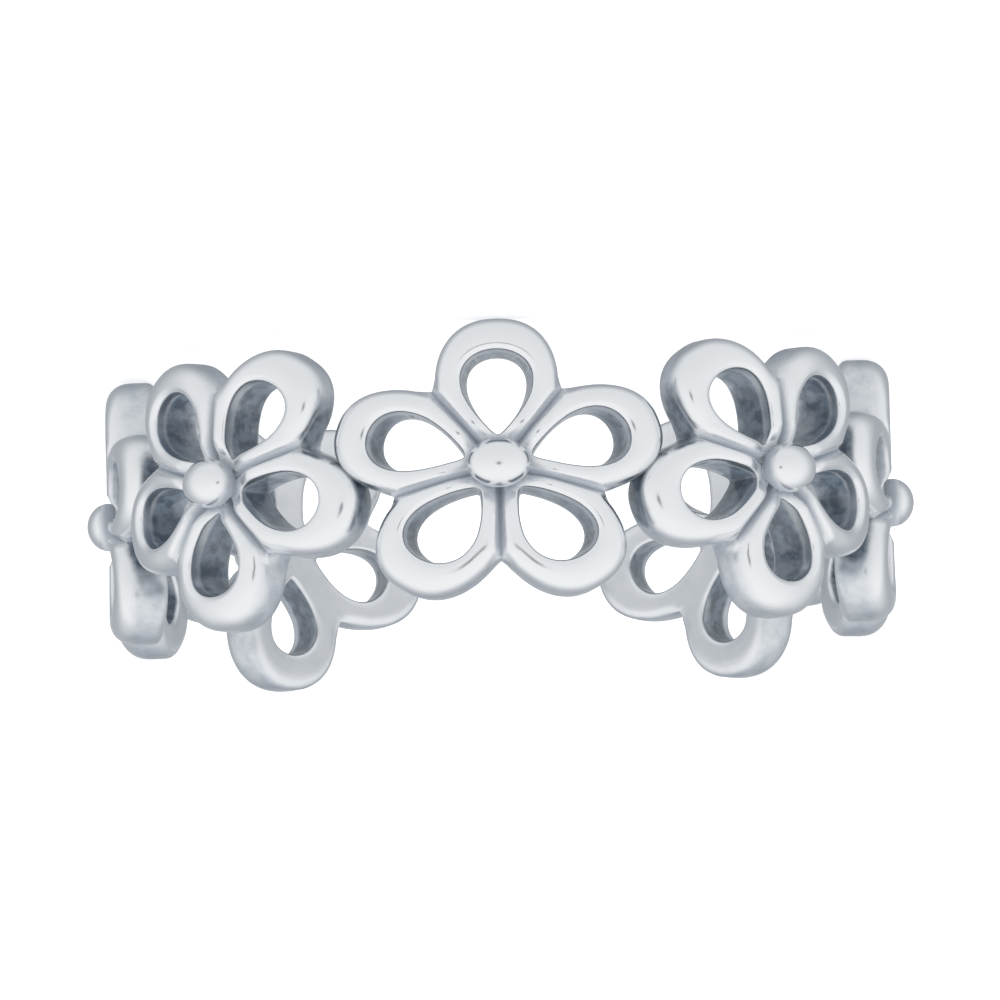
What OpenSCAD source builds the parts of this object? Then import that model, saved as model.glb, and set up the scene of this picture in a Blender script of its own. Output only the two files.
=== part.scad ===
// Toe ring: seven open five-petal flowers cast as one band that is open at the back.
// The ring lies on its side, its axis along Z and its front flower towards -Y.
// Every length is in millimetres and every angle in degrees.

/* [Band] */
// Radius of the round opening that the toe goes through
inner_radius = 8; // [7:0.1:10]
// Wall from the opening to the crest of a petal's wire
band_thickness = 1.2; // [0.9:0.01:1.6]
// How far the wire's outer edge lies below its crest
outer_edge_drop = 0.42; // [0.2:0.01:0.6]
// How far the wire's edge at a petal's hole lies below its crest
hole_edge_drop = 0.1; // [0:0.01:0.3]
// How far the bottom of a seam between two petals lies below the crest
seam_drop = 0.34; // [0.1:0.01:0.6]

/* [Flowers] */
// Angle from the front flower to the one beside it
front_angle = 46.1; // [45:0.1:48]
// Angle between the next flowers on the +X side
plus_angle = 47.5; // [45:0.1:48]
// Angle between the next flowers on the -X side
minus_angle = 46.1; // [45:0.1:48]
// How far a side petal reaches past the middle between the two flowers that are furthest apart
side_reach = 0.16; // [0.1:0.01:0.4]
// Height of the two flowers beside the front one, whose own height is 0
beside_height = -0.07; // [-0.3:0.01:0.3]
// Height of the next flower on the +X side
plus_side_height = 0.01; // [-0.3:0.01:0.3]
// Height of the next flower on the -X side
minus_side_height = -0.05; // [-0.3:0.01:0.3]
// Height of the two flowers at the back
back_height = -0.06; // [-0.3:0.01:0.3]
// How far the upturned flowers lean, away from the front one at the bottom
upturned_lean = 1; // [-3:0.1:3]

/* [Petals] */
// Distance from a flower's centre to the middle of a petal's rounded head
head_distance = 1.79; // [1.6:0.01:1.9]
// Half of the head's length, along the petal
head_half_length = 1.58; // [1.4:0.01:1.7]
// Half of the head's width, across the petal
head_half_width = 1.21; // [1.05:0.01:1.3]
// Fullness of the head's shoulders, where 2 is a plain ellipse
head_fullness = 2.3; // [2:0.05:2.6]
// Distance from a flower's centre to the point of the hole
hole_start = 0.7; // [0.6:0.01:0.9]
// Distance from a flower's centre to the rounded end of the hole
hole_end = 2.53; // [2.4:0.01:2.7]
// Half of the hole's width
hole_half_width = 0.62; // [0.5:0.01:0.75]

/* [Beads] */
// Half of a bead's width, round the band
bead_half_width = 0.72; // [0.5:0.01:0.8]
// Half of a bead's height, along the ring's axis
bead_half_height = 0.59; // [0.45:0.01:0.7]
// How far a bead stands above the crest of the wire
bead_rise = 0.52; // [0.3:0.01:0.7]

/* [Solder] */
// Radius of the solder that joins two flowers
solder_radius = 0.3; // [0.25:0.01:0.4]
// How far the solder's top lies below the wire's crest
solder_drop = 0.5; // [0.3:0.01:0.7]

/* [Hidden] */

// Steps along half a petal: first along its seam, then round its head to the tip
seam_steps = 3;
arc_steps = 7;
half_steps = seam_steps + arc_steps;
loop_steps = 2 * half_steps;

// Places across the wire, from its hole edge at 0 towards its outer edge at 1
across = [0, 0.3, 0.62, 0.87];
across_steps = len(across);
// Where the crest lies on the same scale
crest_place = 0.38;

petals = 5;
petal_turn = 360 / petals;
half_turn = petal_turn / 2;
crest_radius = inner_radius + band_thickness;
// The flowers and the solder reach this far into the opening before it is bored
bore_allowance = 0.3;
root_radius = inner_radius - bore_allowance;
// The bore runs this far past a petal's tip
bore_overrun = 1;
bore_height = 2 * (head_distance + head_half_length + bore_overrun);
// A bead is the outer part of an ellipsoid whose middle is sunk this far into the wire
bead_sink = 0.07;
smooth = 64;
bore_smooth = 256;

// The flowers are numbered round the band from the front one, 0, to the two at the back
last_flower = 3;
function azimuth(n) =
    n == 0 ? 0 :
    n > 0 ? front_angle + (n - 1) * plus_angle :
    (n + 1) * minus_angle - front_angle;
function upturned(n) = abs(n) % 2 == 1;
function lean(n) = upturned(n) ? sign(n) * upturned_lean : 0;
function height(n) =
    n == 0 ? 0 :
    abs(n) == 1 ? beside_height :
    abs(n) == last_flower ? back_height :
    n > 0 ? plus_side_height : minus_side_height;

// Points of a petal lie in its own plane: [distance along it, distance to its + side]

// A head's outline is a superellipse, at an angle from the petal's tip
function head_point(angle) = [
    head_distance + head_half_length * sign(cos(angle)) * pow(abs(cos(angle)), 2 / head_fullness),
    head_half_width * pow(abs(sin(angle)), 2 / head_fullness)];

// The seam meets the head where the outline crosses half a petal's turn
function past_seam(angle) = let (p = head_point(angle)) atan2(p[1], p[0]) > half_turn;
function seam_angle(low, high, times) =
    let (middle = (low + high) / 2)
    times == 0 ? middle :
    past_seam(middle) ? seam_angle(low, middle, times - 1) :
    seam_angle(middle, high, times - 1);
// An angle on the outline that is well past the seam, and how often the search is halved
far_angle = 130;
halvings = 30;
junction_angle = seam_angle(0, far_angle, halvings);
junction_distance = norm(head_point(junction_angle));

// The hole is a drop, at an angle from its rounded end: 180 degrees is its point
hole_middle = (hole_start + hole_end) / 2;
hole_half_length = (hole_end - hole_start) / 2;
drop_width = 4 / sqrt(27);
function hole_point(angle) = [
    hole_middle + hole_half_length * cos(angle),
    hole_half_width * sin(angle) * cos(angle / 2) / drop_width];
// The hole's point goes with the flower's centre, and this angle with the seam's outer end
hole_angle = 92;

// A flower is stretched round the band until its side petals meet its neighbours'
widest_angle = max(front_angle, plus_angle, minus_angle);
half_flower = crest_radius * widest_angle / 2 * PI / 180 + side_reach;
flower_stretch = half_flower / ((head_distance + head_half_length) * sin(petal_turn));

function between(p, q, share) = p + (q - p) * share;
function arc_share(step) = (half_steps - step) / arc_steps;
function outer_edge(step) =
    step <= seam_steps
    ? junction_distance * step / seam_steps * [cos(half_turn), sin(half_turn)]
    : head_point(junction_angle * arc_share(step));
function hole_edge(step) = hole_point(
    step <= seam_steps ? between(180, hole_angle, step / seam_steps) : hole_angle * arc_share(step));

// Going round the whole loop, the second half mirrors the first
function half_step(t) = t <= half_steps ? t : loop_steps - t;
function mirrored(p, t) = t <= half_steps ? p : [p[0], -p[1]];
function loop_point(t, share) =
    mirrored(between(hole_edge(half_step(t)), outer_edge(half_step(t)), share), t);

// Radius of the wire's surface: a quarter round outside the crest, a slight fall inside it
function edge_drop(step) = step < seam_steps ? seam_drop : outer_edge_drop;
function surface_radius(share, step) =
    share < crest_place
    ? crest_radius - hole_edge_drop * pow(1 - share / crest_place, 2)
    : crest_radius - edge_drop(step)
        * (1 - sqrt(1 - pow((share - crest_place) / (1 - crest_place), 2)));

// A petal's plane is turned into place, stretched round the band and wrapped on it
function wrapped(p, petal, radius) =
    let (
        turn = 180 + petal * petal_turn,
        along = flower_stretch * (p[0] * sin(turn) + p[1] * cos(turn)),
        angle = along / crest_radius * 180 / PI
    )
    [radius * sin(angle), -radius * cos(angle), p[0] * cos(turn) - p[1] * sin(turn)];

// Steps of a loop whose outer edge is the petal's own: the rest share a seam
rim_first = seam_steps + 1;
rim_last = loop_steps - seam_steps - 1;
rim_count = rim_last - rim_first + 1;

wire_points = [
    for (petal = [0:petals - 1], t = [0:loop_steps - 1], share = across)
    wrapped(loop_point(t, share), petal, surface_radius(share, half_step(t)))];
function rim_points(radius) = [
    for (petal = [0:petals - 1], t = [rim_first:rim_last])
    wrapped(loop_point(t, 1), petal, radius)];
seam_points = [
    for (petal = [0:petals - 1], step = [1:seam_steps])
    wrapped(outer_edge(step), petal, surface_radius(1, step))];
centre_point = [[0, seam_drop - crest_radius, 0]];
root_hole_points = [
    for (petal = [0:petals - 1], t = [0:loop_steps - 1])
    wrapped(loop_point(t, 0), petal, root_radius)];
root_seam_points = [
    for (petal = [0:petals - 1], step = [1:seam_steps])
    wrapped(outer_edge(step), petal, root_radius)];
root_centre_point = [[0, -root_radius, 0]];

flower_points = concat(
    wire_points,
    rim_points(surface_radius(1, half_steps)), seam_points, centre_point,
    root_hole_points,
    rim_points(root_radius), root_seam_points, root_centre_point);

// Places in flower_points
rim_start = petals * loop_steps * across_steps;
seam_start = rim_start + petals * rim_count;
centre_start = seam_start + petals * seam_steps;
root_hole_start = centre_start + 1;
root_rim_start = root_hole_start + petals * loop_steps;
root_skip = root_rim_start - rim_start;

function around(t) = (t + loop_steps) % loop_steps;
function edge_index(petal, t) =
    t == 0 ? centre_start :
    t <= seam_steps ? seam_start + petal * seam_steps + t - 1 :
    t <= rim_last ? rim_start + petal * rim_count + t - rim_first :
    seam_start + (petal + petals - 1) % petals * seam_steps + loop_steps - t - 1;
function top_index(petal, t, k) =
    k == across_steps
    ? edge_index(petal, around(t))
    : (petal * loop_steps + around(t)) * across_steps + k;
function root_hole_index(petal, t) = root_hole_start + petal * loop_steps + around(t);
function root_edge_index(petal, t) = root_skip + edge_index(petal, around(t));

function split(a, b, c, d) = [[a, b, c], [a, c, d]];
flower_faces = [
    for (petal = [0:petals - 1], t = [0:loop_steps - 1])
    each concat(
        [for (k = [0:across_steps - 1])
            each split(
                top_index(petal, t, k), top_index(petal, t + 1, k),
                top_index(petal, t + 1, k + 1), top_index(petal, t, k + 1))],
        split(
            top_index(petal, t + 1, 0), top_index(petal, t, 0),
            root_hole_index(petal, t), root_hole_index(petal, t + 1)),
        split(
            root_hole_index(petal, t), root_edge_index(petal, t),
            root_edge_index(petal, t + 1), root_hole_index(petal, t + 1)),
        t < seam_steps || t > rim_last ? [] :
        split(
            top_index(petal, t, across_steps), top_index(petal, t + 1, across_steps),
            root_edge_index(petal, t + 1), root_edge_index(petal, t)))];

// Five open petals in one piece, with the single petal downwards
module flower() {
    polyhedron(points = flower_points, faces = flower_faces, convexity = 10);
}

// The round boss where the petals meet
module bead() {
    translate([0, bead_sink - crest_radius, 0])
        scale([bead_half_width, bead_rise + bead_sink, bead_half_height])
            sphere(r = 1, $fn = smooth);
}

// Fills the seam where the side petals of flower n and of the next one touch
module solder_joint(n) {
    rotate([0, 0, (azimuth(n) + azimuth(n + 1)) / 2])
        translate([0, -root_radius, (height(n) + height(n + 1)) / 2])
            rotate([90, 0, 0])
                cylinder(r = solder_radius, h = crest_radius - solder_drop - root_radius, $fn = smooth);
}

// One flower with its bead, in its place on the band
module placed_flower(n) {
    rotate([0, 0, azimuth(n)])
        translate([0, 0, height(n)])
            rotate([0, (upturned(n) ? 180 : 0) + lean(n), 0]) {
                flower();
                bead();
            }
}

module flower_band() {
    color("silver")
        difference() {
            union() {
                for (n = [-last_flower:last_flower]) placed_flower(n);
                for (n = [-last_flower:last_flower - 1]) solder_joint(n);
            }
            cylinder(r = inner_radius, h = bore_height, center = true, $fn = bore_smooth);
        }
}

flower_band();
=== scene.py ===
# %% [markdown]
# # A silver toe ring of seven open flowers
#
# The real ring is cast in one piece: seven flowers stand side by side round the toe, each with
# five open petals of domed wire and a round bead, and the band stays open at the back. The
# measured model gives its true sizes. It comes first, and its box is kept for the last cell.

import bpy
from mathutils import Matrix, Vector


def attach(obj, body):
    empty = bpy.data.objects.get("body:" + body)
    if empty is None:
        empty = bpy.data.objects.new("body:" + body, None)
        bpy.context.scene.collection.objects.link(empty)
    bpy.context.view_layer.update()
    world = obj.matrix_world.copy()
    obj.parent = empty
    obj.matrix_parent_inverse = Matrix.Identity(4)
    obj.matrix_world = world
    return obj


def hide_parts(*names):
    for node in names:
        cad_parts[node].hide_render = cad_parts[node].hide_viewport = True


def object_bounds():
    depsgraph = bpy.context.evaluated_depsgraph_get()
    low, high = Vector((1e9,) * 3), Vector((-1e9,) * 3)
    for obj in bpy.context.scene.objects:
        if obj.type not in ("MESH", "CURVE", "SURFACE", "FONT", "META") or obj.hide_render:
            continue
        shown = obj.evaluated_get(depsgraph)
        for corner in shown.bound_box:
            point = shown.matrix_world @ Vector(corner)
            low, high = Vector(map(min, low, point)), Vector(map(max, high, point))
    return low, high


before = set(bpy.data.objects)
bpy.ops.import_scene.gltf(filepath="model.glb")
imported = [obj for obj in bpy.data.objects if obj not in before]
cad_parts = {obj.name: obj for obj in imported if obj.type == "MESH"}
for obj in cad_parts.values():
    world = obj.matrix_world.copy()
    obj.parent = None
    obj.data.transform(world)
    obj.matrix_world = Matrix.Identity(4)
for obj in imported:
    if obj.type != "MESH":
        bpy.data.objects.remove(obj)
cad_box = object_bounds()
print("measured box:", [round(side * 1000, 2) for side in cad_box[1] - cad_box[0]], "mm")

# %% [markdown]
# ## The camera
#
# The photograph was taken with a long lens from a little above the middle of the ring, and it is
# shown the other way up. The ring here lies on its side with its single front petal down, so the
# camera stands above the floor and is rolled by half a turn. A long lens far away gives the same
# weak perspective, and a small shift puts the ring's axis where the picture has it.

# %% Aim the camera
import math

import bpy
from mathutils import Matrix, Vector, noise

MM = 0.001
INNER_RADIUS = 8.0 * MM
PICTURE_SIDE = 1000
INNER_RADIUS_IN_PIXELS = 341.6
CAMERA_DISTANCE_IN_PIXELS = 11100
AXIS_PIXEL = (500.2, 513.5)
CAMERA_ABOVE = math.radians(7.2)
CAMERA_ROLL = math.radians(180 - 1.55)


def aim_camera():
    """A camera in front of the ring, above it by CAMERA_ABOVE, that looks at the middle of its axis."""
    data = bpy.data.cameras.new("camera")
    data.sensor_width = 36
    data.lens = data.sensor_width * CAMERA_DISTANCE_IN_PIXELS / PICTURE_SIDE
    data.shift_x = (PICTURE_SIDE / 2 - AXIS_PIXEL[0]) / PICTURE_SIDE
    data.shift_y = (AXIS_PIXEL[1] - PICTURE_SIDE / 2) / PICTURE_SIDE
    distance = CAMERA_DISTANCE_IN_PIXELS / INNER_RADIUS_IN_PIXELS * INNER_RADIUS
    data.clip_start = distance / 10
    data.clip_end = distance * 100
    camera = bpy.data.objects.new("camera", data)
    bpy.context.scene.collection.objects.link(camera)
    look_level = Matrix.Rotation(math.radians(90) - CAMERA_ABOVE, 4, "X")
    back = look_level @ Matrix.Translation((0, 0, distance))
    camera.matrix_world = back @ Matrix.Rotation(CAMERA_ROLL, 4, "Z")
    bpy.context.scene.camera = camera
    return distance


camera_distance = aim_camera()
print("camera", round(camera_distance / MM), "mm away, lens", bpy.context.scene.camera.data.lens)

# %% [markdown]
# ## Sizes of the band and its flowers
#
# These are the same sizes as in the measured model, here in metres. The flowers are a little
# wider round the band than they are high, until their side petals meet. The hand that made the
# ring has turned, lifted and leaned each flower by its own small amount, so their places are one
# short table.

# %% Name the sizes
import numpy as np

BAND_THICKNESS = 1.2 * MM
CREST_RADIUS = INNER_RADIUS + BAND_THICKNESS
WIDEST_ANGLE = math.radians(47.5)
SIDE_REACH = 0.16 * MM
PETALS = 5
PETAL_TURN = 2 * math.pi / PETALS
HALF_TURN = PETAL_TURN / 2

# Angle round the band from the front flower, height, and turn about the flower's own centre,
# which is half a turn and a small lean for an upturned one: angles in degrees
FLOWER_PLACES = [
    (-138.3, -0.06 * MM, 180 - 1),
    (-92.2, -0.05 * MM, 0),
    (-46.1, -0.07 * MM, 180 - 1),
    (0.0, 0.0 * MM, 0),
    (46.1, -0.07 * MM, 180 + 1),
    (93.6, 0.01 * MM, 0),
    (141.1, -0.06 * MM, 180 + 1),
]
print(len(FLOWER_PLACES), "flowers, crest at", round(CREST_RADIUS / MM, 2), "mm")

# %% [markdown]
# ## A petal's outline
#
# A petal is a loop of wire: outside it is a full round head, inside it is a hole like a drop, whose
# point lies near the flower's centre. The head is a superellipse, an ellipse with slightly
# fuller shoulders. The hole is an ellipse that narrows towards its point by the cosine of half the
# angle, which is the classic curve of a drop. Both are worked out in the petal's own plane as
# (distance along it, distance to its side), so that any number of stations can be taken on them.

# %% Draw the head and the hole
HEAD_DISTANCE = 1.79 * MM
HEAD_HALF_LENGTH = 1.58 * MM
HEAD_HALF_WIDTH = 1.21 * MM
HEAD_FULLNESS = 2.3
HOLE_START = 0.69 * MM
HOLE_END = 2.53 * MM
HOLE_HALF_WIDTH = 0.62 * MM
DROP_WIDTH = 4 / math.sqrt(27)


def head_point(angle):
    """Points of the head at these angles from the petal's tip."""
    power = 2 / HEAD_FULLNESS
    along = np.sign(np.cos(angle)) * np.abs(np.cos(angle)) ** power
    side = np.abs(np.sin(angle)) ** power
    return np.stack([HEAD_DISTANCE + HEAD_HALF_LENGTH * along, HEAD_HALF_WIDTH * side], axis=-1)


def hole_point(angle):
    """Points of the hole at these angles from its rounded end: half a turn is its point."""
    middle, half_length = (HOLE_END + HOLE_START) / 2, (HOLE_END - HOLE_START) / 2
    side = HOLE_HALF_WIDTH * np.sin(angle) * np.cos(angle / 2) / DROP_WIDTH
    return np.stack([middle + half_length * np.cos(angle), side], axis=-1)


PETAL_TIP = head_point(0.0)[0]
HALF_FLOWER = CREST_RADIUS * WIDEST_ANGLE / 2 + SIDE_REACH
FLOWER_STRETCH = HALF_FLOWER / (PETAL_TIP * math.sin(PETAL_TURN))
print("petal tip", round(PETAL_TIP / MM, 2), "mm out, flower stretched by", round(FLOWER_STRETCH, 3))

# %% [markdown]
# ## Where two petals meet
#
# Neighbouring petals lean on each other along a seam from the flower's centre out to a notch.
# The notch is where the head crosses the line half way to the next petal, and halving an interval
# finds it. Cast metal has no knife-sharp corners, so the notch and the point of the hole are
# softened: hypot turns the sharp turn into a small curve and leaves the rest where it was.

# %% Find the notch
FAR_ANGLE = math.radians(130)
HALVINGS = 40
NOTCH_SOFTNESS = 0.05 * MM
POINT_SOFTNESS = 0.05 * MM


def find_notch():
    """The angle on the head at which it crosses the line between two petals."""
    low, high = 0.0, FAR_ANGLE
    for _ in range(HALVINGS):
        middle = (low + high) / 2
        along, side = head_point(middle)
        if math.atan2(side, along) > HALF_TURN:
            high = middle
        else:
            low = middle
    return low


def softened(value, corner, softness):
    """Values beyond a corner, with the corner rounded off."""
    return corner + np.hypot(value - corner, softness)


NOTCH_ANGLE = find_notch()
NOTCH_DISTANCE = float(np.linalg.norm(head_point(NOTCH_ANGLE)))
print("notch", round(NOTCH_DISTANCE / MM, 2), "mm out, at", round(math.degrees(NOTCH_ANGLE)), "degrees")

# %% [markdown]
# ## Stations along the wire
#
# The surface is built as a net: stations run along the wire, and at each one a section goes
# across it from the hole's edge to the outer edge. Half a petal is worked out, first along the
# seam and then round the head to the tip, and the other half is its mirror image. The hole's
# point goes with the flower's centre, and an angle a little past a quarter turn with the notch.

# %% Lay out the stations
SEAM_STEPS = 10
ARC_STEPS = 22
HOLE_ANGLE = math.radians(92)
HALF_STEPS = SEAM_STEPS + ARC_STEPS
LOOP_STEPS = 2 * HALF_STEPS


def half_petal():
    """The hole's edge and the outer edge of half a petal, station by station."""
    seam_share = np.arange(SEAM_STEPS) / SEAM_STEPS
    arc_share = 1 - np.arange(ARC_STEPS + 1) / ARC_STEPS
    seam_line = np.array([math.cos(HALF_TURN), math.sin(HALF_TURN)])
    head = head_point(NOTCH_ANGLE * arc_share)
    reach = np.linalg.norm(head, axis=1, keepdims=True)
    head = head / reach * softened(reach, NOTCH_DISTANCE, NOTCH_SOFTNESS)
    seam = np.outer(seam_share, seam_line) * np.linalg.norm(head[0])
    beside_seam = math.pi + (HOLE_ANGLE - math.pi) * seam_share
    hole = hole_point(np.concatenate([beside_seam, HOLE_ANGLE * arc_share]))
    hole[:, 0] = softened(hole[:, 0], HOLE_START, POINT_SOFTNESS)
    return hole, np.concatenate([seam, head])


hole_edge, outer_edge = half_petal()
wire_width = np.linalg.norm(outer_edge - hole_edge, axis=1)
wire_range = (np.array([wire_width.min(), wire_width.max()]) / MM).round(2)
print(len(wire_width), "stations, wire", wire_range[0], "to", wire_range[1], "mm")

# %% [markdown]
# ## The wire's section
#
# Across the wire the surface starts flat on the inside of the band, turns up round a small edge
# into the wall of the hole, which leans back a little, turns over the hole's rim, rises to a crest
# close by and falls to the outer edge. Each bend is a part of an ellipse, given by a share of the
# wire's width and a radius from the toe's axis. On a head the fall is a quarter round, a little
# fuller than an ellipse, that ends in the outer wall. Along a seam it is half a wave, so two petals
# meet in a soft groove, which deepens from the bead out to the notch, while the inside stays smooth
# across the seam for the toe.

# %% Shape the section
CREST_DISTANCE = 0.22 * MM
CROWN_DROP = 0.03 * MM
OUTER_DROP = 0.62 * MM
SHOULDER_FULLNESS = 2.3
SEAM_DROP_AT_BEAD = 0.17 * MM
SEAM_DROP_AT_NOTCH = 0.28 * MM
GROOVE_STEEPNESS = 2.2
WALL_LEAN = 0.05 * MM
RIM_WIDTH = 0.08 * MM
RIM_DEPTH = 0.13 * MM
INNER_HOLE_ROUND = 0.1 * MM
INNER_EDGE_ROUND = 0.24 * MM
LARGEST_SHARE = 0.42
INNER_EDGE_STEPS = 4
INSIDE_STATIONS = 4
INNER_HOLE_STEPS = 3
RIM_STEPS = 5
SHOULDER_STEPS = 9
STEPS_ON_TO_HEAD = 3
QUARTERS = (0.25, 0.5, 0.75)


def bend(steps):
    """A quarter round in equal steps: how far along it is, and how far it has turned away."""
    angle = np.linspace(0, math.pi / 2, steps + 1)
    return list(zip(np.sin(angle), 1 - np.cos(angle)))


def shoulder(on_head):
    """How far along and how far down the fall from the crest is, with its start left out."""
    angle = np.linspace(0, math.pi / 2, SHOULDER_STEPS + 1)[1:]
    along, level = (np.abs(turn) ** (2 / SHOULDER_FULLNESS) for turn in (np.sin(angle), np.cos(angle)))
    even = np.arange(1, SHOULDER_STEPS + 1) / SHOULDER_STEPS
    wave = (1 - np.cos(math.pi * even ** GROOVE_STEEPNESS)) / 2
    return zip(on_head * along + (1 - on_head) * even, on_head * (1 - level) + (1 - on_head) * wave)


def section(width, on_head, outer_drop):
    """(share of the width, radius) from the inside's outer edge, round the hole, to the top's."""
    inner_rise = INNER_EDGE_ROUND * on_head
    edge, hole_round = (min(size / width, LARGEST_SHARE) for size in (INNER_EDGE_ROUND, INNER_HOLE_ROUND))
    lean, rim, crest = WALL_LEAN / width, RIM_WIDTH / width, CREST_DISTANCE / width
    wall_start, rim_top = INNER_RADIUS + INNER_HOLE_ROUND, CREST_RADIUS - CROWN_DROP
    wall_end = rim_top - RIM_DEPTH
    inside_edge = [(1 - edge * t, INNER_RADIUS + inner_rise * (1 - a)) for a, t in bend(INNER_EDGE_STEPS)]
    across = np.linspace(1 - edge, hole_round, INSIDE_STATIONS)[1:-1]
    inside = [(place, INNER_RADIUS) for place in across]
    around_hole = bend(INNER_HOLE_STEPS)
    inside_hole = [(hole_round * (1 - a), INNER_RADIUS + INNER_HOLE_ROUND * t) for a, t in around_hole]
    wall = [(lean * u, wall_start + (wall_end - wall_start) * u) for u in QUARTERS]
    over_rim = [(lean + rim * t, rim_top - RIM_DEPTH * (1 - a)) for a, t in bend(RIM_STEPS)[:-1]]
    rise = [(lean + rim + (crest - lean - rim) * u, CROWN_DROP * (1 - u) ** 2) for u in (*QUARTERS, 1)]
    crown = [(place, CREST_RADIUS - drop) for place, drop in rise]
    fall = [(crest + (1 - crest) * a, CREST_RADIUS - outer_drop * t) for a, t in shoulder(on_head)]
    outer_wall = [(1, (INNER_RADIUS + inner_rise + CREST_RADIUS - outer_drop) / 2)]
    return inside_edge + inside + inside_hole + wall + over_rim + crown + fall + outer_wall


half_steps = np.arange(HALF_STEPS + 1)
on_head = np.clip((half_steps - SEAM_STEPS) / STEPS_ON_TO_HEAD, 0, 1)
drop_steps = (0, SEAM_STEPS, SEAM_STEPS + STEPS_ON_TO_HEAD)
outer_drops = np.interp(half_steps, drop_steps, (SEAM_DROP_AT_BEAD, SEAM_DROP_AT_NOTCH, OUTER_DROP))
sections = np.array([section(*sizes) for sizes in zip(wire_width, on_head, outer_drops)])
SECTION_POINTS = sections.shape[1]
print(SECTION_POINTS, "points in each of", len(sections), "sections")

# %% [markdown]
# ## Wrapping the flower round the toe
#
# A flat flower is turned petal by petal, stretched round the band and rolled on to a cylinder:
# the distance round the band becomes an angle, and the section's radius says how far out the
# point lies. All five petals come out of one array. Close to the bead the wires dip a little,
# as the real ones do. The grooves of the seams, which widen towards the bead, and a thin ring round
# the bead's foot are marked with a value from 0 to 1 that is kept beside the points, because the
# material paints the shade of these creases there as a greyer tone.

# %% Roll the petals on to the band
DIP = 0.2 * MM
DIP_START = 0.98 * MM
DIP_END = 0.6 * MM
GROOVE_START = 0.12 * MM
GROOVE_FULL = 0.02 * MM
GROOVE_SPREAD = 1.4
SPREAD_START = 1.15 * MM
SPREAD_END = 0.65 * MM
FOOT_START = 0.76 * MM
FOOT_FULL = 0.58 * MM
TOP_START = CREST_RADIUS - 0.75 * MM
TOP_END = CREST_RADIUS - 0.45 * MM


def eased(value, start, end):
    """0 before start and 1 past end, with a soft way between them."""
    share = np.clip((value - start) / (end - start), 0, 1)
    return share * share * (3 - 2 * share)


def rolled_flower():
    """Every point of one flower, by petal, station and section point, and how much painted shade its groove
    gets.
    """
    step = np.arange(LOOP_STEPS)
    half = np.where(step <= HALF_STEPS, step, LOOP_STEPS - step)
    mirror = np.where(step <= HALF_STEPS, 1, -1)[:, None]
    share, radius = sections[half, :, 0], sections[half, :, 1]
    flat = hole_edge[half][:, None] + (outer_edge - hole_edge)[half][:, None] * share[..., None]
    along, side = flat[..., 0], flat[..., 1]
    on_top = eased(radius, TOP_START, TOP_END)
    from_centre = np.hypot(along, side)
    from_seam = along * math.sin(HALF_TURN) - side * math.cos(HALF_TURN)
    widened = 1 + GROOVE_SPREAD * eased(from_centre, SPREAD_START, SPREAD_END)
    foot = eased(from_centre, FOOT_START, FOOT_FULL)
    # Painted shade: the seam grooves and a ring round the bead's foot are marked for a greyer tone
    groove_shade = on_top * np.maximum(foot, eased(from_seam / widened, GROOVE_START, GROOVE_FULL))
    radius = radius - DIP * on_top * eased(from_centre, DIP_START, DIP_END)
    side = side * mirror
    turn = (math.pi + PETAL_TURN * np.arange(PETALS))[:, None, None]
    round_band = FLOWER_STRETCH * (along * np.sin(turn) + side * np.cos(turn)) / CREST_RADIUS
    height = along * np.cos(turn) - side * np.sin(turn)
    points = np.stack([radius * np.sin(round_band), -radius * np.cos(round_band), height], axis=-1)
    return points.reshape(-1, 3), np.tile(groove_shade.ravel(), PETALS)


flower_points, flower_groove_shades = rolled_flower()
print("one flower:", flower_points.min(0).round(4), flower_points.max(0).round(4))

# %% [markdown]
# ## The flower's skin
#
# Quads join each section to the next. Along a seam two petals share their edge points, so the
# outer wall is left out there, and merging points that lie on each other closes the skin into one
# watertight body, which the later fusing needs.

# %% Join the points with quads
import bmesh


def flower_quads():
    """The skin's quads, as places in the flower's list of points."""
    place = np.arange(PETALS * LOOP_STEPS * SECTION_POINTS).reshape(PETALS, LOOP_STEPS, SECTION_POINTS)
    quads = []
    for petal in range(PETALS):
        for step in range(LOOP_STEPS):
            here, beyond = place[petal, step], place[petal, (step + 1) % LOOP_STEPS]
            on_head = SEAM_STEPS <= step < LOOP_STEPS - SEAM_STEPS
            count = SECTION_POINTS if on_head else SECTION_POINTS - 2
            for k in range(count):
                after = (k + 1) % SECTION_POINTS
                quads.append((here[k], beyond[k], beyond[after], here[after]))
    return quads


QUADS = [tuple(int(i) for i in quad) for quad in flower_quads()]
MERGE_DISTANCE = 0.0001 * MM


def closed_mesh(name, points, groove_shades, faces):
    """A mesh with merged points, no loose ones, and its faces turned outwards."""
    mesh = bpy.data.meshes.new(name)
    mesh.from_pydata([tuple(p) for p in points], [], faces)
    # The marks for painted shade in the grooves travel with the points
    mesh.attributes.new("groove_shade", "FLOAT", "POINT").data.foreach_set("value", groove_shades)
    skin = bmesh.new()
    skin.from_mesh(mesh)
    bmesh.ops.remove_doubles(skin, verts=skin.verts, dist=MERGE_DISTANCE)
    bmesh.ops.delete(skin, geom=[v for v in skin.verts if not v.link_faces], context="VERTS")
    bmesh.ops.recalc_face_normals(skin, faces=skin.faces)
    open_edges = sum(not edge.is_manifold for edge in skin.edges)
    skin.to_mesh(mesh)
    skin.free()
    return mesh, open_edges


first_skin, first_open = closed_mesh("first_flower", flower_points, flower_groove_shades, QUADS)
print(len(first_skin.polygons), "faces and", first_open, "open edges in a flower")

# %% [markdown]
# ## The caster's hand
#
# A wax model is carved and polished by hand, so no two petals are quite alike. A smooth noise
# moves every point by about a hundredth of a millimetre. It is taken at the point's own place
# with an offset for each flower, so points that lie on each other move together.

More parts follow.
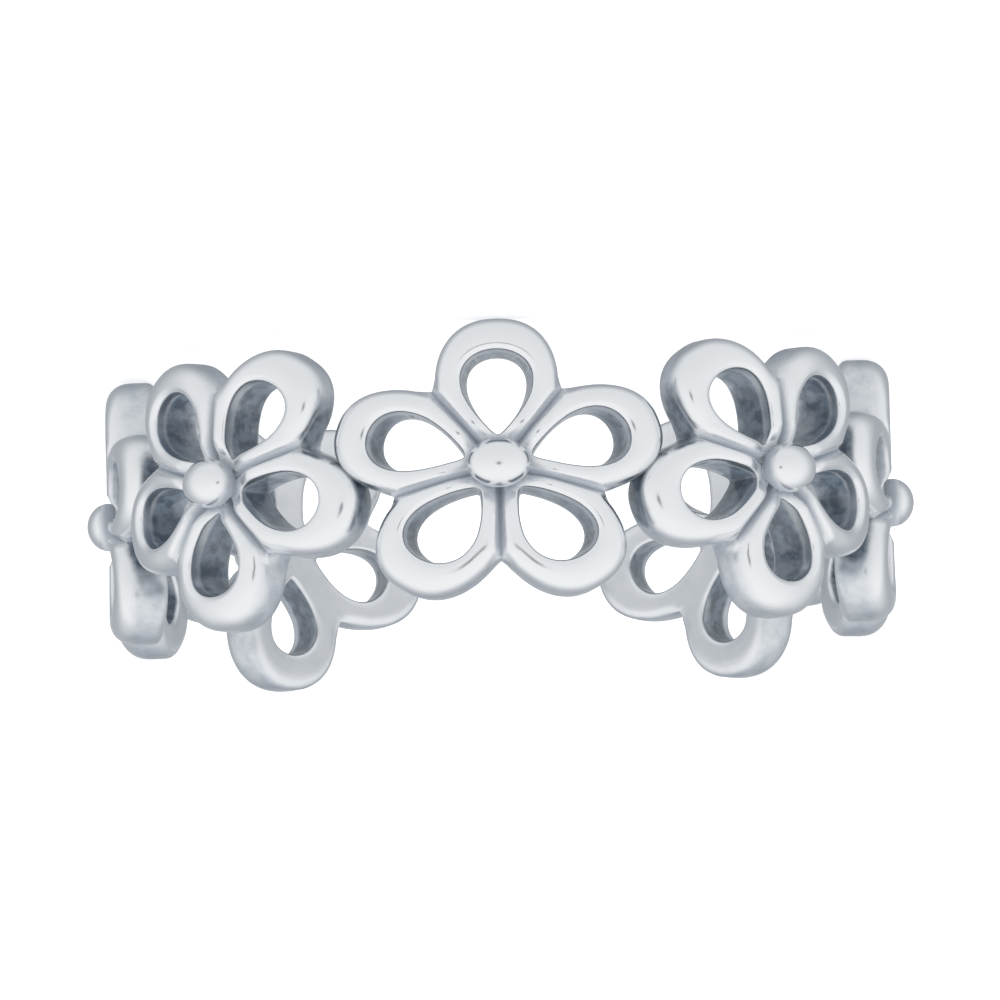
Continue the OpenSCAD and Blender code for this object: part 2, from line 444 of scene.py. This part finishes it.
# %% Make each flower a little uneven
UNEVEN = 0.012 * MM
UNEVEN_SIZE = 1.3 * MM
OFFSET_STEP = (7.3, 3.1, 5.7)
NOISE_SEED = 1

# Without a seed, Blender shifts this noise by the time of day, and each run gives other petals
noise.seed_set(NOISE_SEED)


def uneven(points, seed):
    """The points, each moved a little by smooth noise."""
    offset = Vector([seed * step for step in OFFSET_STEP])
    moved = [p + np.array(noise.noise_vector(Vector(p / UNEVEN_SIZE) + offset)) * UNEVEN for p in points]
    return np.array(moved)


print("points move by up to about", round(UNEVEN / MM, 3), "mm")

# %% [markdown]
# ## The beads and the solder
#
# A round bead covers the place where five petals meet. It stands half a millimetre above the
# wire, and its root is sunk so that it grows out of the metal. A smaller drop of solder fills
# the cleft where the side petals of two flowers touch. Both are balls pressed into ellipsoids.

# %% Shape a bead and a drop of solder
BEAD_HALF_WIDTH = 0.72 * MM
BEAD_HALF_HEIGHT = 0.56 * MM
BEAD_HALF_DEPTH = 0.51 * MM
BEAD_FOOT = 0.22 * MM
BALL_SUBDIVISIONS = 5
SOLDER_HALF_WIDTH = 0.34 * MM
SOLDER_HALF_DEPTH = 0.38 * MM
SOLDER_INSIDE = 0.02 * MM


def ball(half_width, half_depth, half_height, radius):
    """Points, painted groove shade and faces of an ellipsoid in front of the band's axis, at this radius.
    """
    body = bmesh.new()
    bmesh.ops.create_icosphere(body, subdivisions=BALL_SUBDIVISIONS, radius=1)
    points = np.array([v.co for v in body.verts]) * [half_width, half_depth, half_height]
    faces = [tuple(v.index for v in f.verts) for f in body.faces]
    body.free()
    points = points - [0, radius, 0]
    # Painted shade: the bead's root, and the whole drop of solder down in its cleft, are marked for the
    # grey tone
    return points, eased(-points[:, 1], CREST_RADIUS + BEAD_FOOT, CREST_RADIUS), faces


bead_ball = ball(BEAD_HALF_WIDTH, BEAD_HALF_DEPTH, BEAD_HALF_HEIGHT, CREST_RADIUS)
solder_ball = ball(SOLDER_HALF_WIDTH, SOLDER_HALF_DEPTH, SOLDER_HALF_WIDTH,
                   INNER_RADIUS + SOLDER_INSIDE + SOLDER_HALF_DEPTH)
print(len(bead_ball[0]), "points in a bead")

# %% [markdown]
# ## Placing everything on the band
#
# Every second flower stands on its head, as on the real band, where an upturned flower fits
# between two others. A place is two turns: one about the flower's own centre, and one round the
# toe. The solder goes half way between neighbours.

# %% Place the flowers, beads and solder


def placed(points, angle, height, own_turn=0):
    """Points of something made at the front of the band, moved to its place on it."""
    place = Matrix.Rotation(math.radians(angle), 3, "Z") @ Matrix.Rotation(math.radians(own_turn), 3, "Y")
    return points @ np.array(place).T + [0, 0, height]


def body(name, points, groove_shades, faces):
    """A closed object of these points and faces."""
    mesh, open_edges = closed_mesh(name, points, groove_shades, faces)
    if open_edges:
        print(name, "has", open_edges, "open edges")
    obj = bpy.data.objects.new(name, mesh)
    bpy.context.scene.collection.objects.link(obj)
    return obj


parts = []
for number, place in enumerate(FLOWER_PLACES):
    own_points = placed(uneven(flower_points, number), *place)
    parts.append(body(f"flower_{number}", own_points, flower_groove_shades, QUADS))
    parts.append(body(f"bead_{number}", placed(bead_ball[0], *place), *bead_ball[1:]))
for (angle, height, _), (next_angle, next_height, _) in zip(FLOWER_PLACES, FLOWER_PLACES[1:]):
    middle = placed(solder_ball[0], (angle + next_angle) / 2, (height + next_height) / 2)
    parts.append(body("solder", middle, *solder_ball[1:]))
print(len(parts), "bodies placed")

# %% [markdown]
# ## Fusing the band
#
# The real band is one piece of metal, so the bodies are united by Boolean modifiers. All of them
# are watertight, which the Manifold solver asks for, and it is fast and exact. The result is read
# back as one mesh, its curved surfaces are shaded smooth, and only true edges stay sharp.

# %% Fuse the bodies into one
SHARP_ANGLE = math.radians(50)


def fused(name, bodies):
    """One object made of all these bodies, which are removed."""
    first = bodies[0]
    for other in bodies[1:]:
        union = first.modifiers.new("union", "BOOLEAN")
        union.operation = "UNION"
        union.solver = "MANIFOLD"
        union.object = other
    evaluated = first.evaluated_get(bpy.context.evaluated_depsgraph_get())
    mesh = bpy.data.meshes.new_from_object(evaluated)
    for obj in bodies:
        bpy.data.objects.remove(obj)
    mesh.shade_smooth()
    mesh.set_sharp_from_angle(angle=SHARP_ANGLE)
    obj = bpy.data.objects.new(name, mesh)
    bpy.context.scene.collection.objects.link(obj)
    return obj


band = fused("silver_flower_band", parts)
triangles = sum(len(p.vertices) - 2 for p in band.data.polygons)
print("one band of", len(band.data.vertices), "points and", triangles, "triangles")

# %% [markdown]
# ## Painted shade where the buffing wheel doesn't reach
#
# After casting, the ring is buffed. The wheel brightens what stands out and misses the walls of
# the holes, the seams and the foot of the beads, which stay dull; their dark grey is painted shade.
# How sheltered a point is can be measured: rays go out from it to all sides, and the share that
# soon meets metal is kept as a value on the mesh. The material reads that value, so the finish and the
# painted shade follow the shape.

# %% Measure how sheltered each point is
from mathutils.bvhtree import BVHTree

RAYS = 28
RAY_REACH = 2.0 * MM
RAY_START = 0.01 * MM
GOLDEN_ANGLE = math.pi * (3 - math.sqrt(5))
SOFTENING_ROUNDS = 3


def rays_about_z():
    """Directions over half a sphere, denser near its pole, where they count most."""
    place = np.arange(RAYS) + 0.5
    out = np.sqrt(place / RAYS)
    turn = place * GOLDEN_ANGLE
    return [Vector(ray) for ray in zip(out * np.cos(turn), out * np.sin(turn), np.sqrt(1 - out * out))]


def sheltered(mesh):
    """For each point of the mesh, the share of its rays that meet metal within RAY_REACH."""
    tree = BVHTree.FromPolygons([v.co for v in mesh.vertices], [p.vertices[:] for p in mesh.polygons])
    rays = rays_about_z()
    shares = np.empty(len(mesh.vertices))
    for number, point in enumerate(mesh.vertices):
        start = point.co + point.normal * RAY_START
        turn = point.normal.to_track_quat("Z", "Y")
        met = sum(tree.ray_cast(start, turn @ ray, RAY_REACH)[0] is not None for ray in rays)
        shares[number] = met / RAYS
    return shares


def evened_out(mesh, values):
    """The values, each drawn towards those of the points beside it."""
    ends = np.empty(len(mesh.edges) * 2, dtype=int)
    mesh.edges.foreach_get("vertices", ends)
    first, second = ends[::2], ends[1::2]
    neighbours = np.bincount(ends, minlength=len(values))
    for _ in range(SOFTENING_ROUNDS):
        total = np.bincount(first, values[second], len(values))
        total = total + np.bincount(second, values[first], len(values))
        values = (values + total / neighbours) / 2
    return values


shelter = evened_out(band.data, sheltered(band.data))
band.data.attributes.new("shelter", "FLOAT", "POINT").data.foreach_set("value", shelter)
print("shelter: half of the points are above", round(float(np.median(shelter)), 2))

# %% [markdown]
# ## Polished silver
#
# A metallic surface shows its surroundings, so most of its look comes from the light. Its tone
# and polish depend on where it lies, and its darker tones are painted shade. The wire's sides and
# the inside of the band are less polished than its dome, and a darker silver paints shade on them.
# Below the polished rims, sheltered walls turn to dull silver under a thin clear film, which shines
# when seen along the wall; their dark tone is painted shade. Grooves and the foot of the beads get a
# lighter grey, painted shade in the creases. What is not polished scatters some of its light, so it is less
# metallic. Cloudy noise makes all of this patchy, and a fine bump breaks the reflections as handling does.

# %% Mix the silver
SILVER = (0.93, 0.94, 0.95, 1)
# The tones after SILVER are painted shade: darker silver on the flanks and inside, dark silver with darker
# stain patches on sheltered walls, and grey in the grooves
UNPOLISHED_SHADED_SILVER = (0.58, 0.62, 0.67, 1)
GROOVE_SHADE_SILVER = (0.35, 0.38, 0.42, 1)
SHADED_WALL_SILVER = (0.16, 0.2, 0.245, 1)
SHADED_WALL_STAINS = (0.07, 0.092, 0.12, 1)
SHELTER_RANGE = (0.2, 0.45)
SHELTER_PATCHINESS = 0.2
POLISHED_RIM = CREST_RADIUS - 0.22 * MM
DULL_WALL = CREST_RADIUS - 0.4 * MM
POLISHED, UNPOLISHED, DULL = 0.19, 0.32, 0.45
FILM_POLISH = 0.1
FILM_INDEX = 1.6
INSIDE_SHARE = 0.3
SCATTER = 0.85

# How far a surface faces away from the toe's axis: 1 is straight out, and -1 straight in
UPRIGHT = (0.8, 0.45)
OFF_DOME = (0.75, -0.1)
INSIDE = (-0.4, -0.85)

# Noises by their scale and detail, and the part of each noise's range that is used
CLOUDS = {"Scale": 1100.0, "Detail": 4.0}
STAINS = {"Scale": 3200.0, "Detail": 5.0, "Roughness": 0.6}
GRAIN = {"Scale": 2600.0, "Detail": 4.0}
PATCH_RANGE = (0.3, 0.7)
CLOUD_RANGE = (0.35, 0.65)
STAIN_RANGE = (0.38, 0.62)
THINNEST_CLOUD = 0.6
GRAIN_STRENGTH = 0.2
GRAIN_DEPTH = 0.01 * MM

# A Mix node's first input, second input and output, by what it mixes
MIX_SOCKETS = {"RGBA": (6, 7, 2), "FLOAT": (2, 3, 0)}


def node(tree, kind, **values):
    """A new node, with its inputs or properties set by name."""
    made = tree.nodes.new(kind)
    for name, value in values.items():
        if name in made.inputs:
            made.inputs[name].default_value = value
        else:
            setattr(made, name, value)
    return made


def mapped(tree, value, start, end, low=0.0, high=1.0):
    """A socket that goes softly from low to high as the value goes from start to end."""
    made = node(tree, "ShaderNodeMapRange", interpolation_type="SMOOTHSTEP")
    for name, number in zip(("From Min", "From Max", "To Min", "To Max"), (start, end, low, high)):
        made.inputs[name].default_value = number
    tree.links.new(value, made.inputs["Value"])
    return made.outputs["Result"]


def mixed(tree, factor, first, second, kind="RGBA"):
    """A socket between two colours or two numbers, each a plain value or another socket."""
    made = node(tree, "ShaderNodeMix", data_type=kind)
    first_slot, second_slot, result = MIX_SOCKETS[kind]
    tree.links.new(factor, made.inputs["Factor"])
    for slot, value in ((first_slot, first), (second_slot, second)):
        if isinstance(value, (tuple, float)):
            made.inputs[slot].default_value = value
        else:
            tree.links.new(value, made.inputs[slot])
    return made.outputs[result]


def combined(tree, operation, first, second):
    """A socket that holds two sockets or numbers, put together by this operation."""
    made = node(tree, "ShaderNodeMath", operation=operation)
    for slot, value in enumerate((first, second)):
        if isinstance(value, float):
            made.inputs[slot].default_value = value
        else:
            tree.links.new(value, made.inputs[slot])
    return made.outputs[0]


def about_axis(tree, place):
    """The distance from the toe's axis, and how far the surface faces away from that axis."""
    flat = node(tree, "ShaderNodeVectorMath", operation="MULTIPLY")
    flat.inputs[1].default_value = (1, 1, 0)
    out = node(tree, "ShaderNodeVectorMath", operation="NORMALIZE")
    dot = node(tree, "ShaderNodeVectorMath", operation="DOT_PRODUCT")
    tree.links.new(place.outputs["Object"], flat.inputs[0])
    tree.links.new(flat.outputs["Vector"], out.inputs[0])
    tree.links.new(out.outputs["Vector"], dot.inputs[0])
    tree.links.new(place.outputs["Normal"], dot.inputs[1])
    radius = node(tree, "ShaderNodeVectorMath", operation="LENGTH")
    tree.links.new(flat.outputs["Vector"], radius.inputs[0])
    return radius.outputs["Value"], dot.outputs["Value"]


def polished_silver():
    """The ring's one material."""
    material = bpy.data.materials.new("polished_silver")
    material.use_nodes = True
    tree = material.node_tree
    link = tree.links.new
    surface = tree.nodes["Principled BSDF"]
    place = node(tree, "ShaderNodeTexCoord")
    cloudy, stains, grain = (node(tree, "ShaderNodeTexNoise", **kind) for kind in (CLOUDS, STAINS, GRAIN))
    for noise_node in (cloudy, stains, grain):
        link(place.outputs["Object"], noise_node.inputs["Vector"])
    patches = mapped(tree, cloudy.outputs["Fac"], *PATCH_RANGE, -SHELTER_PATCHINESS, SHELTER_PATCHINESS)

    shelter_value = node(tree, "ShaderNodeAttribute", attribute_name="shelter").outputs["Fac"]
    patchy = combined(tree, "ADD", shelter_value, combined(tree, "MULTIPLY", shelter_value, patches))
    radius, out = about_axis(tree, place)
    upright = mapped(tree, combined(tree, "ABSOLUTE", out, 0.0), *UPRIGHT)
    # Sheltered walls below the rims: a dull finish, and painted shade as a dark tone
    wall = combined(tree, "MULTIPLY", upright, mapped(tree, radius, POLISHED_RIM, DULL_WALL))
    dull_shaded = combined(tree, "MULTIPLY", wall, mapped(tree, patchy, *SHELTER_RANGE))
    off_dome = mapped(tree, out, *OFF_DOME)
    groove_shade = node(tree, "ShaderNodeAttribute", attribute_name="groove_shade").outputs["Fac"]
    clouds = combined(tree, "MULTIPLY", mapped(tree, cloudy.outputs["Fac"], *CLOUD_RANGE, THINNEST_CLOUD),
                      mapped(tree, stains.outputs["Fac"], *CLOUD_RANGE, THINNEST_CLOUD))
    # Painted shade: the flanks and, less, the inside of the band get a darker silver
    unpolished_shaded = combined(tree, "MULTIPLY", off_dome, mapped(tree, out, *INSIDE, 1.0, INSIDE_SHARE))
    silver = mixed(tree, combined(tree, "MULTIPLY", unpolished_shaded, clouds), SILVER, UNPOLISHED_SHADED_SILVER)
    # Painted shade on the sheltered walls: dark silver with darker stain patches
    stained_wall_shade = mixed(tree, mapped(tree, stains.outputs["Fac"], *STAIN_RANGE), SHADED_WALL_SILVER, SHADED_WALL_STAINS)
    darkened = mixed(tree, dull_shaded, silver, stained_wall_shade)
    # Painted shade in the grooves and round the bead's foot: a grey tone
    link(mixed(tree, groove_shade, darkened, GROOVE_SHADE_SILVER), surface.inputs["Base Color"])
    polish = mixed(tree, off_dome, POLISHED, UNPOLISHED, "FLOAT")
    dull_or_groove = combined(tree, "MAXIMUM", dull_shaded, groove_shade)
    link(mixed(tree, dull_or_groove, polish, DULL, "FLOAT"), surface.inputs["Roughness"])
    link(mapped(tree, dull_or_groove, 0.0, 1.0, 1.0, 1.0 - SCATTER), surface.inputs["Metallic"])
    link(dull_shaded, surface.inputs["Coat Weight"])
    surface.inputs["Coat Roughness"].default_value = FILM_POLISH
    surface.inputs["Coat IOR"].default_value = FILM_INDEX

    bump = node(tree, "ShaderNodeBump", Strength=GRAIN_STRENGTH, Distance=GRAIN_DEPTH)
    link(grain.outputs["Fac"], bump.inputs["Height"])
    link(bump.outputs["Normal"], surface.inputs["Normal"])
    return material


band.data.materials.clear()
band.data.materials.append(polished_silver())
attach(band, "root")
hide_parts("flower_band")
print("finish:", band.data.materials[0].name)

# %% [markdown]
# ## Floor and light
#
# A plain pale floor carries the ring, and a light tent surrounds it, which is how polished
# metal is photographed: the metal shows what it reflects. The tent is bright in front and to the
# sides and darker towards the back, where the wire's turned-away flanks look, with a slightly
# brighter backdrop straight behind. A small dark hole is left for the lens. A second, wide light
# from above serves the floor alone, which keeps it nearly white.

# %% Lay the floor and light the tent
FLOOR_SIDE = 3.0
FLOOR_LEVEL = cad_box[0].z
FLOOR_PAINT = (0.9, 0.9, 0.9, 1)
FLOOR_ROUGHNESS = 0.9
FLOOR_LIGHT_STRENGTH = 2.5
FLOOR_LIGHT_WIDTH = math.radians(70)
TENT_SHADE = (0.78, 0.88, 1.0, 1)
TENT_WHITE = (1.0, 1.0, 1.0, 1.0)

# Where each part of the tent starts and ends along Y, which points to the back, or up Z, and how
# bright it is at both
SIDES = (0.8, -0.1, 0.5, 0.93)
BACKDROP = (0.9, 0.985, 0.0, 0.12)
BELOW_TO_ABOVE = (-0.9, 0.9, 0.88, 1.0)
LENS_HOLE = (math.cos(math.radians(7)), math.cos(math.radians(4.5)), 1.0, 0.1)


def lay_floor():
    """A wide pale floor under the ring."""
    half = FLOOR_SIDE / 2
    corners = [(x, y, FLOOR_LEVEL) for x, y in ((-half, -half), (half, -half), (half, half), (-half, half))]
    mesh = bpy.data.meshes.new("floor")
    mesh.from_pydata(corners, [], [(0, 1, 2, 3)])
    floor = bpy.data.objects.new("floor", mesh)
    bpy.context.scene.collection.objects.link(floor)
    paint = bpy.data.materials.new("floor_paint")
    paint.use_nodes = True
    surface = paint.node_tree.nodes["Principled BSDF"]
    surface.inputs["Base Color"].default_value = FLOOR_PAINT
    surface.inputs["Roughness"].default_value = FLOOR_ROUGHNESS
    mesh.materials.append(paint)
    floor.visible_glossy = False


def floor_light():
    """A soft light from straight above that only the floor shows."""
    data = bpy.data.lights.new("floor_light", "SUN")
    data.energy = FLOOR_LIGHT_STRENGTH
    data.angle = FLOOR_LIGHT_WIDTH
    data.use_shadow = False
    light = bpy.data.objects.new("floor_light", data)
    light.visible_glossy = False
    bpy.context.scene.collection.objects.link(light)


def light_tent():
    """The world as a tent: its brightness follows the direction in which the metal looks."""
    world = bpy.data.worlds.new("light_tent")
    bpy.context.scene.world = world
    world.use_nodes = True
    tree = world.node_tree
    direction = node(tree, "ShaderNodeTexCoord").outputs["Generated"]
    split = node(tree, "ShaderNodeSeparateXYZ")
    tree.links.new(direction, split.inputs["Vector"])
    to_lens = node(tree, "ShaderNodeVectorMath", operation="DOT_PRODUCT")
    to_lens.inputs[1].default_value = (0, -math.cos(CAMERA_ABOVE), math.sin(CAMERA_ABOVE))
    tree.links.new(direction, to_lens.inputs[0])
    sides, backdrop = (mapped(tree, split.outputs["Y"], *part) for part in (SIDES, BACKDROP))
    above = mapped(tree, split.outputs["Z"], *BELOW_TO_ABOVE)
    lens = mapped(tree, to_lens.outputs["Value"], *LENS_HOLE)
    tent = combined(tree, "MULTIPLY", combined(tree, "ADD", sides, backdrop), above)
    brightness = combined(tree, "MULTIPLY", tent, lens)
    background = tree.nodes["Background"]
    tree.links.new(brightness, background.inputs["Strength"])
    tree.links.new(mixed(tree, brightness, TENT_SHADE, TENT_WHITE), background.inputs["Color"])


lay_floor()
floor_light()
light_tent()
bpy.context.scene.view_settings.view_transform = "Standard"
print("floor at", round(FLOOR_LEVEL / MM, 2), "mm")
